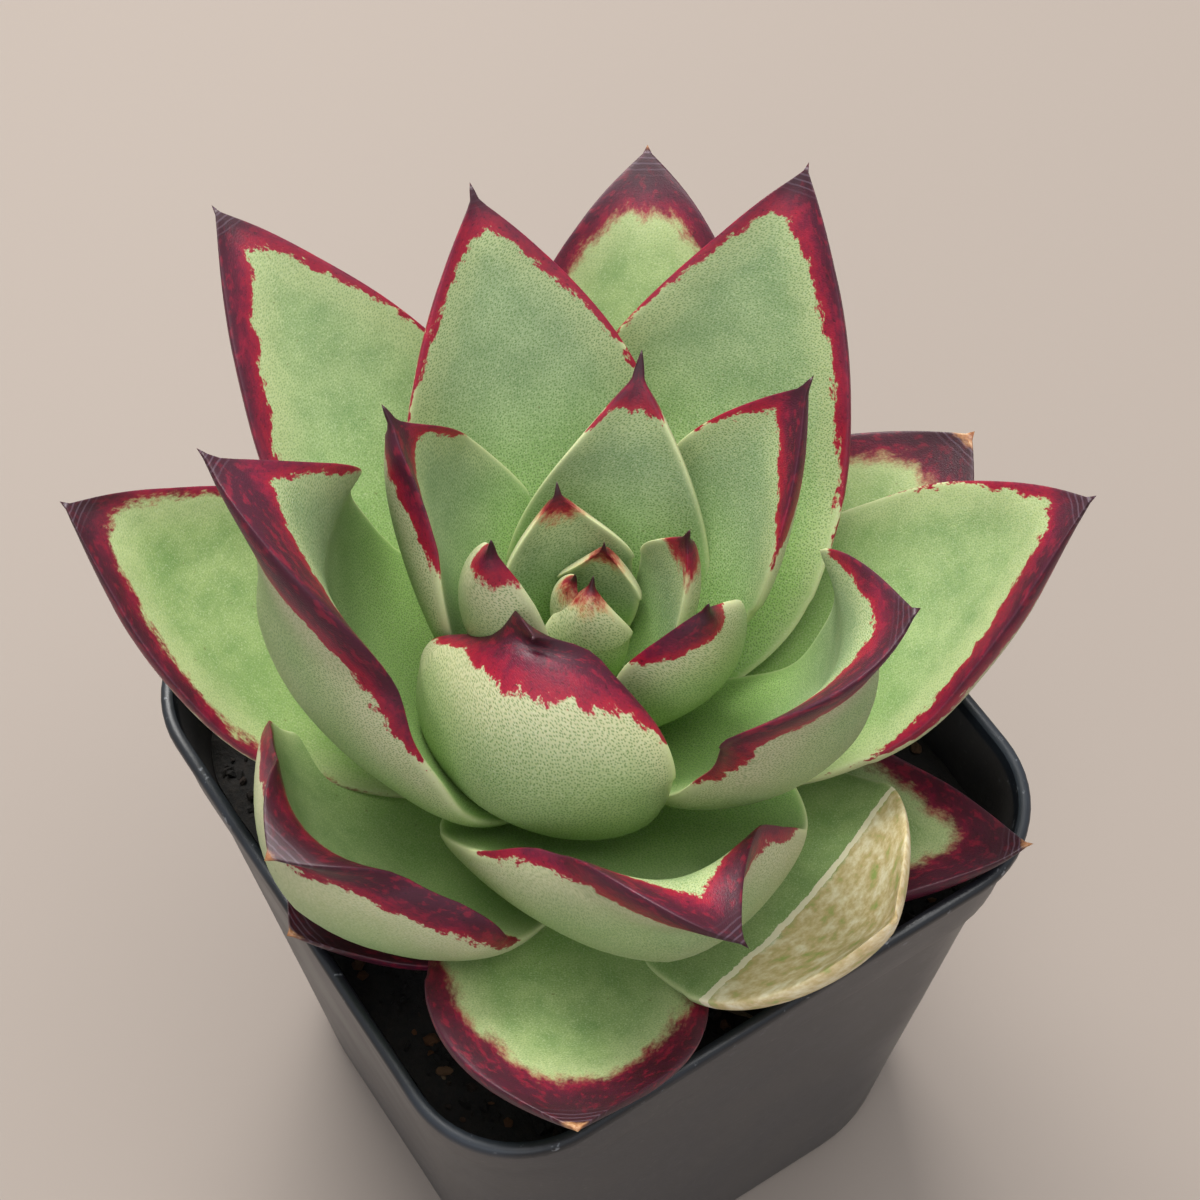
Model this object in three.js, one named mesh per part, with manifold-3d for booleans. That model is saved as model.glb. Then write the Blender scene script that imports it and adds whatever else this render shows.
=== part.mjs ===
// Potted ebony echeveria: a rosette of thick pointed leaves on a short stem, in a square nursery pot.
// Millimetres, +Z up. The origin is the middle of the pot's foot, and the pot's sides lie along X and Y.

import * as THREE from 'three';
import { mergeVertices } from 'three/addons/utils/BufferGeometryUtils.js';
import Module from 'manifold-3d';

const wasm = await Module();
wasm.setup();

// Driving dimensions

const GAP = 0.3;                  // clearance between pieces that touch
const POT_HEIGHT = 86;
const RIM_SIDE = 89;              // a 3.5 inch square pot, over its rim
const RIM_CORNER = 15.4;          // corner radius at the rim
const COLLAR_DEPTH = 12;          // steeper band under the rim
const COLLAR_SIDE = 86.4;         // over the foot of that band
const COLLAR_STEP = 1.4;          // the wall below the collar is this much narrower
const FOOT_SIDE = 72;
const FOOT_CORNER = 21;
const WALL = 1.3;
const RIM_WALL = 1.7;             // thickened lip
const RIM_LIP = 2;                // height of the lip
const FLOOR = 2;
const DRAIN_RADIUS = 4.5;
const DRAIN_OFFSET = 22;          // drain holes stand this far from the middle, in X and in Y
const SOIL_BELOW_RIM = 13;
const SOIL_BUMP = 0.9;
const STEM_HOLE_DEPTH = 24;
const STEM_FOOT_RADIUS = 6.5;

// The rosette grows from the pot's middle. Leaf n sits a golden angle after leaf n - 1.
const GOLDEN_ANGLE = 137.5;
const FIRST_AZIMUTH = 243;
const CROWN_ABOVE_RIM = 26;       // height of the growing point over the rim
const CROWN_RADIUS = 1;           // stem radius at the growing point
const STEM_SPREAD = 6;            // how much wider the stem is at the oldest leaf
const OLDEST = 29;
const LEAF_SIDES = 12;            // facets round a leaf
const STATIONS = [0, 0.08, 0.18, 0.3, 0.42, 0.54, 0.66, 0.76, 0.84, 0.9, 0.95, 1];  // rings along a leaf
const NECK = 0.6;                 // a leaf's width at its foot, as a share of its widest
const BELLY = 0.11;               // depth of the underside, as a share of the width
const BELLY_FLESH = 1.9;          // and what every full-grown leaf has besides, in millimetres
const FULL_GROWN = 12;            // width from which a leaf has all of it
const CROWNING = 0.035;           // rise of the upper face, as a share of the width
const CROWNING_FLESH = 0.3;
const SPINE_HALF = 1.3;           // half the width that the blade draws in to at its point
const SPINE_TAPER = 4;            // over about this length, it draws in to nothing
const YOUNG_BLADE = 0.8;          // from its widest place to its point, the youngest blade ends here
const BLADE_GROWTH = 0.012;       // each older leaf carries its blade this much further
const OLD_BLADE = 0.975;          // and this is the furthest
const YOUNG_FULLNESS = 1.15;      // power of the youngest blade's outline: 1 is straight, 2 is round
const FULLNESS_GROWTH = 0.08;     // and each older blade is this much fuller, up to 2
const TURN_END = 0.96;            // along the leaf, its spiny tip has turned outwards by here
const FLATTENING = 0.9;           // share of its cup that a strongly hooked tip loses in the turn
const STRONG_HOOK = 60;
const TIP_RADIUS = 0.3;           // the spine is nowhere thinner, and ends blunt

// Each leaf, from the bud outwards:
// lean    degrees off its place in the spiral
// foot    angle of rise where it leaves the stem, and point, the same at its end
// roll    turn about its own length, and sweep, its sideways bend
// cup     how far the margins stand up over the midrib, as a share of the half width
// widest  where along its length the leaf is widest
// hook    how far the spiny tip turns outwards, and turn, the share of the length it does so over
const LEAVES = [
  { n: 1, lean: -1, foot: 86, point: 102, long: 16.5, wide: 8, roll: 0, cup: 0.25, sweep: 2, hook: 8, widest: 0.56, turn: 0.11 },
  { n: 2, lean: 14, foot: 72, point: 83, long: 16.5, wide: 10, roll: 6, cup: 0.25, sweep: 15, hook: 11, widest: 0.56, turn: 0.11 },
  { n: 3, lean: 6, foot: 67, point: 129, long: 20, wide: 9.8, roll: -3, cup: 0.24, sweep: -31, hook: 7, widest: 0.54, turn: 0.11 },
  { n: 4, lean: -25, foot: 70, point: 67, long: 24, wide: 15.6, roll: -1, cup: 0.3, sweep: -14, hook: 13, widest: 0.5, turn: 0.11 },
  { n: 5, lean: 12, foot: 55, point: 87, long: 28.5, wide: 12.2, roll: 3, cup: 0.25, sweep: 22, hook: 13, widest: 0.55, turn: 0.11 },
  { n: 6, lean: -11, foot: 58, point: 101, long: 39.5, wide: 17.5, roll: 6, cup: 0.4, sweep: 2, hook: 10, widest: 0.5, turn: 0.11 },
  { n: 7, lean: -9, foot: 52, point: 63, long: 40, wide: 25, roll: 7, cup: 0.3, sweep: 7, hook: 15, widest: 0.23, turn: 0.12 },
  { n: 8, lean: 22, foot: 41, point: 98, long: 38, wide: 18, roll: -20, cup: 0.4, sweep: -5, hook: 16, widest: 0.53, turn: 0.12 },
  { n: 9, lean: -16, foot: 38, point: 85, long: 45.5, wide: 26, roll: 29, cup: 0.42, sweep: -16, hook: 34, widest: 0.37, turn: 0.13 },
  { n: 10, lean: 5, foot: 42, point: 68, long: 48.5, wide: 22, roll: -4, cup: 0.32, sweep: 5, hook: 15, widest: 0.44, turn: 0.12 },
  { n: 11, lean: -2, foot: 3, point: 163, long: 48, wide: 34, roll: -13, cup: 0.45, sweep: 1, hook: 118, widest: 0.6, turn: 0.08 },
  { n: 12, lean: -8, foot: 35, point: 56, long: 61, wide: 33, roll: 4, cup: 0.32, sweep: 2, hook: 15, widest: 0.35, turn: 0.12 },
  { n: 13, lean: -16, foot: 20, point: 106, long: 70, wide: 27, roll: -11, cup: 0.6, sweep: 45.5, hook: 58, widest: 0.72, turn: 0.2 },
  { n: 14, lean: -5.5, foot: 11, point: 143, long: 75, wide: 41, roll: 18, cup: 0.58, sweep: -47, hook: 109, widest: 0.28, turn: 0.3 },
  { n: 15, lean: -2, foot: 23, point: 60, long: 68.5, wide: 39, roll: 2, cup: 0.34, sweep: 8, hook: 17, widest: 0.28, turn: 0.12 },
  { n: 16, lean: -2, foot: -10, point: 110, long: 60.5, wide: 43.5, roll: -20, cup: 0.56, sweep: 36, hook: 122, widest: 0.2, turn: 0.22 },
  { n: 17, lean: -13, foot: 18, point: 49, long: 73.5, wide: 33.5, roll: -1, cup: 0.27, sweep: -1, hook: 15, widest: 0.32, turn: 0.12 },
  { n: 18, lean: 0, foot: -1, point: 70, long: 68, wide: 35, roll: -4, cup: 0.23, sweep: 0, hook: 26, widest: 0.42, turn: 0.13 },
  { n: 19, lean: -8, foot: -30, point: 110, long: 60.5, wide: 40.5, roll: 3, cup: 0.47, sweep: -1, hook: 99, widest: 0.58, turn: 0.1 },
  { n: 20, lean: -13, foot: 21, point: 42, long: 68, wide: 30, roll: 1, cup: 0.25, sweep: 8, hook: 16, widest: 0.54, turn: 0.12 },
  { n: 21, lean: -3, foot: -27, point: 60, long: 51, wide: 37, roll: 1, cup: 0.18, sweep: 14, hook: -5, widest: 0.6, turn: 0.11 },
  { n: 22, lean: -9, foot: -1, point: 61, long: 68.5, wide: 36, roll: -2, cup: 0.32, sweep: -6, hook: 19, widest: 0.44, turn: 0.12 },
  { n: 23, lean: -8, foot: -6, point: 37, long: 57, wide: 32, roll: 1, cup: 0.24, sweep: 6, hook: 6, widest: 0.55, turn: 0.11 },
  { n: 24, lean: 1, foot: -12, point: 43, long: 57.5, wide: 33.5, roll: -9, cup: 0.12, sweep: 17, hook: 5, widest: 0.57, turn: 0.11 },
  { n: 25, lean: 0, foot: -6, point: 34, long: 55, wide: 32, roll: 0, cup: 0.2, sweep: 0, hook: 5, widest: 0.55, turn: 0.11 },
  { n: 26, lean: -11, foot: -25, point: 32, long: 53, wide: 28, roll: -10, cup: 0.26, sweep: 16, hook: 5, widest: 0.36, turn: 0.11 },
  { n: 27, lean: 7, foot: -18, point: 26, long: 41, wide: 30, roll: -2, cup: 0.23, sweep: 1, hook: 2, widest: 0.58, turn: 0.1 },
  { n: 28, lean: 0, foot: -22, point: 28, long: 52, wide: 30, roll: 0, cup: 0.2, sweep: 0, hook: 0, widest: 0.55, turn: 0.1 },
];

const LEAF_GREEN = 0x8fae72;
const POT_BLACK = 0x24272b;
const SOIL_BROWN = 0x17120e;
const STEM_GREEN = 0x8a9a63;

const radians = THREE.MathUtils.degToRad;

// Turns a closed mesh into a solid that can be cut
function toSolid(geometry) {
  const bare = geometry.clone();
  bare.deleteAttribute('normal');
  bare.deleteAttribute('uv');
  const merged = mergeVertices(bare, 1e-4);
  return new wasm.Manifold(new wasm.Mesh({
    numProp: 3,
    vertProperties: new Float32Array(merged.attributes.position.array),
    triVerts: new Uint32Array(merged.index.array),
  }));
}

function toGeometry(solid) {
  const mesh = solid.getMesh();
  const geometry = new THREE.BufferGeometry();
  geometry.setAttribute('position', new THREE.BufferAttribute(mesh.vertProperties, 3));
  geometry.setIndex(new THREE.BufferAttribute(mesh.triVerts, 1));
  geometry.computeVertexNormals();
  return geometry;
}

// Skins closed rings of points, all of one length, and closes both ends
function loft(rings) {
  const around = rings[0].length;
  const points = rings.flat();
  const faces = [];
  for (let i = 0; i < rings.length - 1; i++) {
    for (let j = 0; j < around; j++) {
      const a = i * around + j;
      const b = i * around + (j + 1) % around;
      faces.push(a, b, b + around, a, b + around, a + around);
    }
  }
  const first = points.length;
  points.push(middle(rings[0]));
  points.push(middle(rings[rings.length - 1]));
  const last = (rings.length - 1) * around;
  for (let j = 0; j < around; j++) {
    const next = (j + 1) % around;
    faces.push(first, next, j);
    faces.push(first + 1, last + j, last + next);
  }
  const geometry = new THREE.BufferGeometry();
  geometry.setAttribute('position', new THREE.Float32BufferAttribute(points.flatMap(p => [p.x, p.y, p.z]), 3));
  geometry.setIndex(faces);
  return geometry;
}

function middle(ring) {
  const sum = new THREE.Vector3();
  ring.forEach(p => sum.add(p));
  return sum.divideScalar(ring.length);
}

// Pot: one tapered square moulding with round corners, a collar, a lip and drained floor

const CORNER_STEPS = 6;

function roundedSquare(side, corner, z) {
  const ring = [];
  const centre = side / 2 - corner;
  for (let k = 0; k < 4; k++) {
    for (let s = 0; s <= CORNER_STEPS; s++) {
      const angle = (k + s / CORNER_STEPS) * Math.PI / 2;
      const sx = k === 0 || k === 3 ? 1 : -1;
      const sy = k < 2 ? 1 : -1;
      ring.push(new THREE.Vector3(
        sx * centre + corner * Math.cos(angle),
        sy * centre + corner * Math.sin(angle),
        z));
    }
  }
  return ring;
}

const COLLAR_Z = POT_HEIGHT - COLLAR_DEPTH;
const BODY_TOP_SIDE = COLLAR_SIDE - COLLAR_STEP;

// Side and corner radius of the outer wall at a height
function potWall(z) {
  if (z >= COLLAR_Z) {
    const up = (z - COLLAR_Z) / COLLAR_DEPTH;
    return { side: COLLAR_SIDE + (RIM_SIDE - 1 - COLLAR_SIDE) * up, corner: RIM_CORNER + 1 - up };
  }
  const up = z / COLLAR_Z;
  return {
    side: FOOT_SIDE + (BODY_TOP_SIDE - FOOT_SIDE) * up,
    corner: FOOT_CORNER + (RIM_CORNER + 1 - FOOT_CORNER) * up,
  };
}

function wallRing(z, inset) {
  const { side, corner } = potWall(z);
  return roundedSquare(side - 2 * inset, corner - inset, z);
}

function buildPot() {
  const lipZ = POT_HEIGHT - RIM_LIP;
  const stepped = roundedSquare(BODY_TOP_SIDE, RIM_CORNER + 1 - COLLAR_STEP / 2, COLLAR_Z - COLLAR_STEP);
  const rings = [
    roundedSquare(FOOT_SIDE - 2, FOOT_CORNER - 1, 0),
    wallRing(1, 0),
    stepped,
    wallRing(COLLAR_Z, 0),
    wallRing(lipZ, 0),
    roundedSquare(RIM_SIDE, RIM_CORNER, lipZ + 0.5),
    roundedSquare(RIM_SIDE, RIM_CORNER, POT_HEIGHT - 0.4),
    roundedSquare(RIM_SIDE - 0.8, RIM_CORNER - 0.4, POT_HEIGHT),
    roundedSquare(RIM_SIDE - 2 * RIM_WALL + 0.6, RIM_CORNER - RIM_WALL + 0.3, POT_HEIGHT),
    roundedSquare(RIM_SIDE - 2 * RIM_WALL, RIM_CORNER - RIM_WALL, POT_HEIGHT - 0.4),
    wallRing(lipZ - 1, WALL),
    wallRing(COLLAR_Z + COLLAR_STEP, WALL),
    wallRing(COLLAR_Z - 2 * COLLAR_STEP, WALL),
    wallRing(FLOOR, WALL),
  ];
  let pot = toSolid(loft(rings));
  for (const [sx, sy] of [[1, 1], [-1, 1], [-1, -1], [1, -1]]) {
    const drain = new THREE.CylinderGeometry(DRAIN_RADIUS, DRAIN_RADIUS, 3 * FLOOR, 20);
    drain.rotateX(Math.PI / 2);
    drain.translate(sx * DRAIN_OFFSET, sy * DRAIN_OFFSET, FLOOR / 2);
    pot = pot.subtract(toSolid(drain));
  }
  return pot;
}

// Stem: short and fleshy, thinner towards the growing point

function stemAt(n) {
  const age = n / OLDEST;
  return {
    radius: CROWN_RADIUS + STEM_SPREAD * age ** 0.6,
    z: POT_HEIGHT + CROWN_ABOVE_RIM * (1 - age ** 0.75),
  };
}

const SOIL_Z = POT_HEIGHT - SOIL_BELOW_RIM;
const STEM_FOOT_Z = SOIL_Z - STEM_HOLE_DEPTH;

function buildStem(extra) {
  const profile = [new THREE.Vector2(0, STEM_FOOT_Z - extra), new THREE.Vector2(STEM_FOOT_RADIUS + extra, STEM_FOOT_Z - extra)];
  for (const n of [OLDEST, 22, 15, 9, 5, 2]) {
    const { radius, z } = stemAt(n);
    profile.push(new THREE.Vector2(radius - GAP + extra, z));
  }
  profile.push(new THREE.Vector2(0, POT_HEIGHT + CROWN_ABOVE_RIM - 1 + extra));
  const lathe = new THREE.LatheGeometry(profile, 16);
  lathe.rotateX(Math.PI / 2);
  return toSolid(lathe);
}

// Soil: fills the pot, with a rough top and a plain hole for the stem

function soilTop(x, y) {
  const wave = Math.sin(0.31 * x + 1.3) * Math.cos(0.27 * y - 0.6) + 0.6 * Math.sin(0.63 * x - 0.45 * y);
  return SOIL_Z + SOIL_BUMP * wave;
}

function buildSoil() {
  const below = FLOOR + GAP;
  const inset = WALL + GAP;
  const rings = [wallRing(below, inset), wallRing(COLLAR_Z - 2 * COLLAR_STEP, inset)];
  for (const share of [1, 0.8, 0.6, 0.4, 0.2]) {
    const ring = wallRing(SOIL_Z, inset).map(p => {
      const x = p.x * share;
      const y = p.y * share;
      return new THREE.Vector3(x, y, share === 1 ? SOIL_Z - 1 : soilTop(x, y));
    });
    rings.push(ring);
  }
  const hole = new THREE.CylinderGeometry(STEM_FOOT_RADIUS + GAP, STEM_FOOT_RADIUS + GAP, 2 * STEM_HOLE_DEPTH, 16);
  hole.rotateX(Math.PI / 2);
  hole.translate(0, 0, STEM_FOOT_Z - GAP + STEM_HOLE_DEPTH);
  return toSolid(loft(rings)).subtract(toSolid(hole));
}

// Leaf: thick, egg shaped in plan, flat or hollow above and bellied below, with a spiny tip

function halfWidth(t, leaf) {
  if (t < leaf.widest) {
    return leaf.wide / 2 * (NECK + (1 - NECK) * Math.sin(Math.PI / 2 * t / leaf.widest));
  }
  const x = (t - leaf.widest) / (1 - leaf.widest);
  const bladeEnd = Math.min(OLD_BLADE, YOUNG_BLADE + BLADE_GROWTH * leaf.n);
  const fullness = Math.min(2, YOUNG_FULLNESS + FULLNESS_GROWTH * leaf.n);
  const blade = leaf.wide / 2 * Math.max(0, 1 - (x / bladeEnd) ** fullness);
  const spine = SPINE_HALF * (1 - Math.exp(-(1 - t) * leaf.long / SPINE_TAPER));
  return Math.max(TIP_RADIUS, (blade ** 1.5 + spine ** 1.5) ** (2 / 3));
}

function leafDepth(t) {
  const body = 0.55 + 0.45 * Math.sin(Math.PI / 2 * Math.min(1, t / 0.45));
  return body * (1 - Math.max(0, (t - 0.45) / 0.55) ** 2.2);
}

// Place and axes of the midrib at every ring: it rises along an arc and turns sideways as it goes
function midrib(leaf) {
  const azimuth = FIRST_AZIMUTH - GOLDEN_ANGLE * (leaf.n - 1) + leaf.lean;
  const start = stemAt(leaf.n);
  const place = new THREE.Vector3(start.radius, 0, start.z);
  place.applyAxisAngle(new THREE.Vector3(0, 0, 1), radians(azimuth));
  const frames = [];
  let reached = 0;
  for (const station of STATIONS) {
    const strides = station === 0 ? 1 : 8;
    const stride = (station - reached) / strides;
    let along;
    let heading;
    let turned;
    for (let i = 0; i < strides; i++) {
      const t = reached + stride * (i + 0.5);
      turned = THREE.MathUtils.clamp((t - TURN_END + leaf.turn) / leaf.turn, 0, 1);
      const rise = radians(leaf.foot + (leaf.point - leaf.foot) * t - leaf.hook * turned);
      heading = radians(azimuth + leaf.sweep * t * t);
      along = new THREE.Vector3(Math.cos(rise) * Math.cos(heading), Math.cos(rise) * Math.sin(heading), Math.sin(rise));
      place.addScaledVector(along, leaf.long * stride);
    }
    reached = station;
    const level = 1 - FLATTENING * turned * Math.min(1, Math.abs(leaf.hook) / STRONG_HOOK);
    const side = new THREE.Vector3(-Math.sin(heading), Math.cos(heading), 0);
    side.applyAxisAngle(along, radians(leaf.roll) * Math.min(1, 1.5 * station));
    const face = along.clone().cross(side);
    frames.push({ t: station, place: place.clone(), along, side, face, level });
  }
  return frames;
}

// One ring of a leaf, grown by an extra thickness where a neighbour has to clear it
function section(leaf, { t, place, side, face, level }, extra) {
  const half = halfWidth(t, leaf);
  const lift = leaf.cup * half * Math.min(1, 1.3 * t) * level;
  const above = CROWNING * leaf.wide + CROWNING_FLESH;
  const below = BELLY * leaf.wide + BELLY_FLESH * Math.min(1, leaf.wide / FULL_GROWN);
  const ring = [];
  for (let j = 0; j < LEAF_SIDES; j++) {
    const angle = 2 * Math.PI * j / LEAF_SIDES;
    const across = Math.cos(angle);
    const up = Math.sin(angle);
    const depth = Math.max(TIP_RADIUS, Math.min(half, leafDepth(t) * (up > 0 ? above : below)));
    const bulge = Math.sign(up) * (1 - Math.min(1, Math.abs(across)) ** 2.4) ** 0.45;
    const height = lift * across ** 2 + depth * bulge + extra * up;
    ring.push(place.clone().addScaledVector(side, across * (half + extra)).addScaledVector(face, height));
  }
  return ring;
}

function buildLeaf(leaf, extra) {
  const frames = midrib(leaf);
  frames[0].place.addScaledVector(frames[0].along, -extra);
  frames.at(-1).place.addScaledVector(frames.at(-1).along, extra);
  return toSolid(loft(frames.map(frame => section(leaf, frame, extra))));
}

function boxesMeet(a, b) {
  const p = a.boundingBox();
  const q = b.boundingBox();
  return [0, 1, 2].every(k => p.min[k] < q.max[k] && q.min[k] < p.max[k]);
}

function largest(solid) {
  return solid.decompose().sort((a, b) => b.volume() - a.volume())[0];
}

// Assembly: each leaf gives way to the stem and to every younger leaf that presses into it

const plant = new THREE.Group();

function addPiece(name, solid, colour, roughness) {
  const material = new THREE.MeshStandardMaterial({ color: colour, roughness, metalness: 0 });
  const mesh = new THREE.Mesh(toGeometry(solid), material);
  mesh.name = name;
  plant.add(mesh);
}

addPiece('pot', buildPot(), POT_BLACK, 0.45);
addPiece('soil', buildSoil(), SOIL_BROWN, 0.95);
addPiece('stem', buildStem(0), STEM_GREEN, 0.6);

const younger = [buildStem(GAP)];
for (const leaf of LEAVES) {
  const whole = buildLeaf(leaf, 0);
  let solid = whole;
  for (const neighbour of younger) {
    if (boxesMeet(solid, neighbour)) {
      solid = solid.subtract(neighbour);
    }
  }
  addPiece(`leaf_${String(leaf.n).padStart(2, '0')}`, largest(solid), LEAF_GREEN, 0.5);
  younger.push(buildLeaf(leaf, GAP).add(whole));
}

export default plant;
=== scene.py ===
"""A potted echeveria: a rosette of thick red-edged leaves on a short stem, in a square nursery pot."""

import math
import random
from collections import namedtuple

import bmesh
import bpy
from mathutils import Matrix, Quaternion, Vector, noise


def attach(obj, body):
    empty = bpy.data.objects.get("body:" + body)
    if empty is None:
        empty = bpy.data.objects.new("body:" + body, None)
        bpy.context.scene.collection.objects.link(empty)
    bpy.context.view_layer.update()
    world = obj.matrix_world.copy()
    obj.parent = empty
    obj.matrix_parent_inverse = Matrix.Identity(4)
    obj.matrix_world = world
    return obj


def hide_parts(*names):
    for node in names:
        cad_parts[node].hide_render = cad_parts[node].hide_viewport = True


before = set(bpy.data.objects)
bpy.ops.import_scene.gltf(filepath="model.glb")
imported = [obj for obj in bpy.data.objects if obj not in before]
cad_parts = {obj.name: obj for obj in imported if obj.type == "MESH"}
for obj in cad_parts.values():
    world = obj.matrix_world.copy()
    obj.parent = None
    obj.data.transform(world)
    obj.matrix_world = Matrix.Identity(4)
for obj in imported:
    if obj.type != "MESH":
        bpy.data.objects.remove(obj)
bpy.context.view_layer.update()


# Pot: a square nursery pot, injection moulded in one piece from black polypropylene. A collar and a
# rolled lip stiffen its mouth, the wall tapers so that pots nest, and the floor has four drain holes.

POT_HEIGHT = 86.0
RIM_SIDE, RIM_CORNER, RIM_WALL, LIP = 89.0, 15.4, 1.7, 2.0
COLLAR_Z, COLLAR_SIDE, COLLAR_CORNER, COLLAR_STEP = 74.0, 86.4, RIM_CORNER + 1, 1.4
COLLAR_FOOT = COLLAR_Z - 2 * COLLAR_STEP
LIP_STEP = 1.0
BODY_TOP_SIDE = COLLAR_SIDE - COLLAR_STEP
FOOT_SIDE, FOOT_CORNER = 72.0, 21.0
WALL, FLOOR, FLOOR_FILLET = 1.3, 2.0, 0.5
DRAIN_RADIUS, DRAIN_OFFSET, DRAIN_CUTS = 4.5, 22.0, 32
DRAIN_CORNERS = ((1, 1), (-1, 1), (-1, -1), (1, -1))
CORNER_CUTS, SIDE_CUTS = 14, 16
CUTS = CORNER_CUTS + SIDE_CUTS

# Rounded edges in rows: height over the foot or depth under the mouth, and by how much the side and the
# corner radius fall short of their full size there
FOOT_EDGE = ((0, 2.4, 1.2), (0.2, 1.2, 0.6), (0.7, 0.2, 0))
LIP_EDGE = ((LIP, LIP_STEP, 0), (1.85, 0.3, 0), (1.5, 0, 0), (0.7, 0, 0), (0.25, 0.3, 0.1), (0, 1.0, 0.4),
            (0, 2.5, 1.3), (0.25, 3.2, 1.6), (0.7, 2 * RIM_WALL, RIM_WALL))

# The step under the collar in rows: height from the collar's own foot, side and corner radius
COLLAR_EDGE = ((-1.6, BODY_TOP_SIDE - 0.1, 15.9), (-1.2, BODY_TOP_SIDE + 0.3, 16.0),
               (-0.3, COLLAR_SIDE - 0.3, 16.3))

# How far the walls sag inwards at least, how much more at most, and from which height on in full. The
# waves in them have a pitch and a start.
SAG, SAG_SWING, SAG_FULL_AT = 0.12, 0.25, 20.0
WAVE_PITCH, WAVE_START = 0.035, Vector((3.1, 0.4, 7.7))


def wall_at(z):
    """Side and corner radius of the outer wall at a height, in millimetres."""
    if z >= COLLAR_Z:
        up = (z - COLLAR_Z) / (POT_HEIGHT - COLLAR_Z)
        side = COLLAR_SIDE + (RIM_SIDE - LIP_STEP - COLLAR_SIDE) * up
        return side, COLLAR_CORNER + (RIM_CORNER - COLLAR_CORNER) * up
    up = z / COLLAR_Z
    side = FOOT_SIDE + (BODY_TOP_SIDE - FOOT_SIDE) * up
    return side, FOOT_CORNER + (COLLAR_CORNER - FOOT_CORNER) * up


def square_point(station, side, corner, z):
    """A point on a rounded square, by its station from 0 to 4 * CUTS."""
    quarter, step = divmod(station, CUTS)
    centre = side / 2 - corner
    if step <= CORNER_CUTS:
        angle = math.pi / 2 * step / CORNER_CUTS
        x, y = centre + corner * math.cos(angle), centre + corner * math.sin(angle)
    else:
        along = (step - CORNER_CUTS) / SIDE_CUTS
        x, y = centre - 2 * centre * along, side / 2
    return Matrix.Rotation(quarter * math.pi / 2, 3, "Z") @ Vector((x, y, z))


def square_shell(bm, levels):
    """Lofts rounded squares, given as (z, side, corner), by extruding one ring up and down the levels."""
    station = bm.verts.layers.int.get("station") or bm.verts.layers.int.new("station")
    verts = bmesh.ops.create_circle(bm, segments=4 * CUTS, radius=1)["verts"]
    for index, vert in enumerate(verts):
        vert[station] = index
    edges = list({edge for vert in verts for edge in vert.link_edges})
    rings = []
    for z, side, corner in levels:
        if rings:
            made = bmesh.ops.extrude_edge_only(bm, edges=edges)["geom"]
            verts = [item for item in made if isinstance(item, bmesh.types.BMVert)]
            edges = [edge for edge in made if isinstance(edge, bmesh.types.BMEdge)
                     and edge.verts[0] in verts and edge.verts[1] in verts]
        for vert in verts:
            vert.co = square_point(vert[station], side, corner, z)
        rings.append((verts, edges))
    return rings


def finish_piece(name, bm, material, nodes, sharp=40):
    """Turns millimetres into metres and links the piece, smooth but for edges sharper than an angle."""
    bmesh.ops.scale(bm, vec=(0.001, 0.001, 0.001), verts=bm.verts[:])
    for face in bm.faces:
        face.smooth = True
    for edge in bm.edges:
        edge.smooth = edge.calc_face_angle(0) < math.radians(sharp)
    mesh = bpy.data.meshes.new(name)
    bm.to_mesh(mesh)
    bm.free()
    piece = bpy.data.objects.new(name, mesh)
    bpy.context.scene.collection.objects.link(piece)
    mesh.materials.append(material)
    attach(piece, "root")
    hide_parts(*nodes)


def paint(code):
    """An sRGB hex colour as linear light."""
    values = [int(code[i:i + 2], 16) / 255 for i in (1, 3, 5)]
    return tuple(v / 12.92 if v <= 0.04045 else ((v + 0.055) / 1.055) ** 2.4 for v in values) + (1.0,)


def add_node(tree, kind, settings=None, links=None, **attributes):
    """Adds one node, with its own attributes, socket values and incoming links."""
    node = tree.nodes.new(kind)
    for key, value in attributes.items():
        setattr(node, key, value)
    for socket, value in (settings or {}).items():
        node.inputs[socket].default_value = value
    for socket, source in (links or {}).items():
        tree.links.new(source, node.inputs[socket])
    return node


def ramp(tree, factor, stops):
    """A colour ramp through (position, hex colour) stops."""
    node = add_node(tree, "ShaderNodeValToRGB", links={"Fac": factor})
    while len(node.color_ramp.elements) < len(stops):
        node.color_ramp.elements.new(0.5)
    for element, (position, code) in zip(node.color_ramp.elements, stops):
        element.position = position
        element.color = paint(code)
    return node.outputs["Color"]


def span(tree, value, low, high, to_low=0.0, to_high=1.0):
    """Maps a value smoothly from one span to another, clamped."""
    limits = {"From Min": low, "From Max": high, "To Min": to_low, "To Max": to_high}
    node = add_node(tree, "ShaderNodeMapRange", limits, {"Value": value}, interpolation_type="SMOOTHSTEP")
    return node.outputs["Result"]


def cloudy(tree, place, scale, detail, roughness=0.5):
    """A value that drifts from 0 to 1 from place to place."""
    limits = {"Scale": scale, "Detail": detail, "Roughness": roughness}
    return add_node(tree, "ShaderNodeTexNoise", limits, {"Vector": place}).outputs["Fac"]


def carried(tree, name, output="Fac"):
    """A measure that the mesh carries at each of its points."""
    return add_node(tree, "ShaderNodeAttribute", attribute_name=name).outputs[output]


def blend(tree, factor, first, second):
    """Mixes two colours, each a socket or a hex colour, by a socket or a number."""
    node = add_node(tree, "ShaderNodeMix", data_type="RGBA")
    share, under, over, mixed = 0, 6, 7, 2
    for index, source in ((share, factor), (under, first), (over, second)):
        if isinstance(source, str):
            node.inputs[index].default_value = paint(source)
        elif isinstance(source, float):
            node.inputs[index].default_value = source
        else:
            tree.links.new(source, node.inputs[index])
    return node.outputs[mixed]


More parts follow.
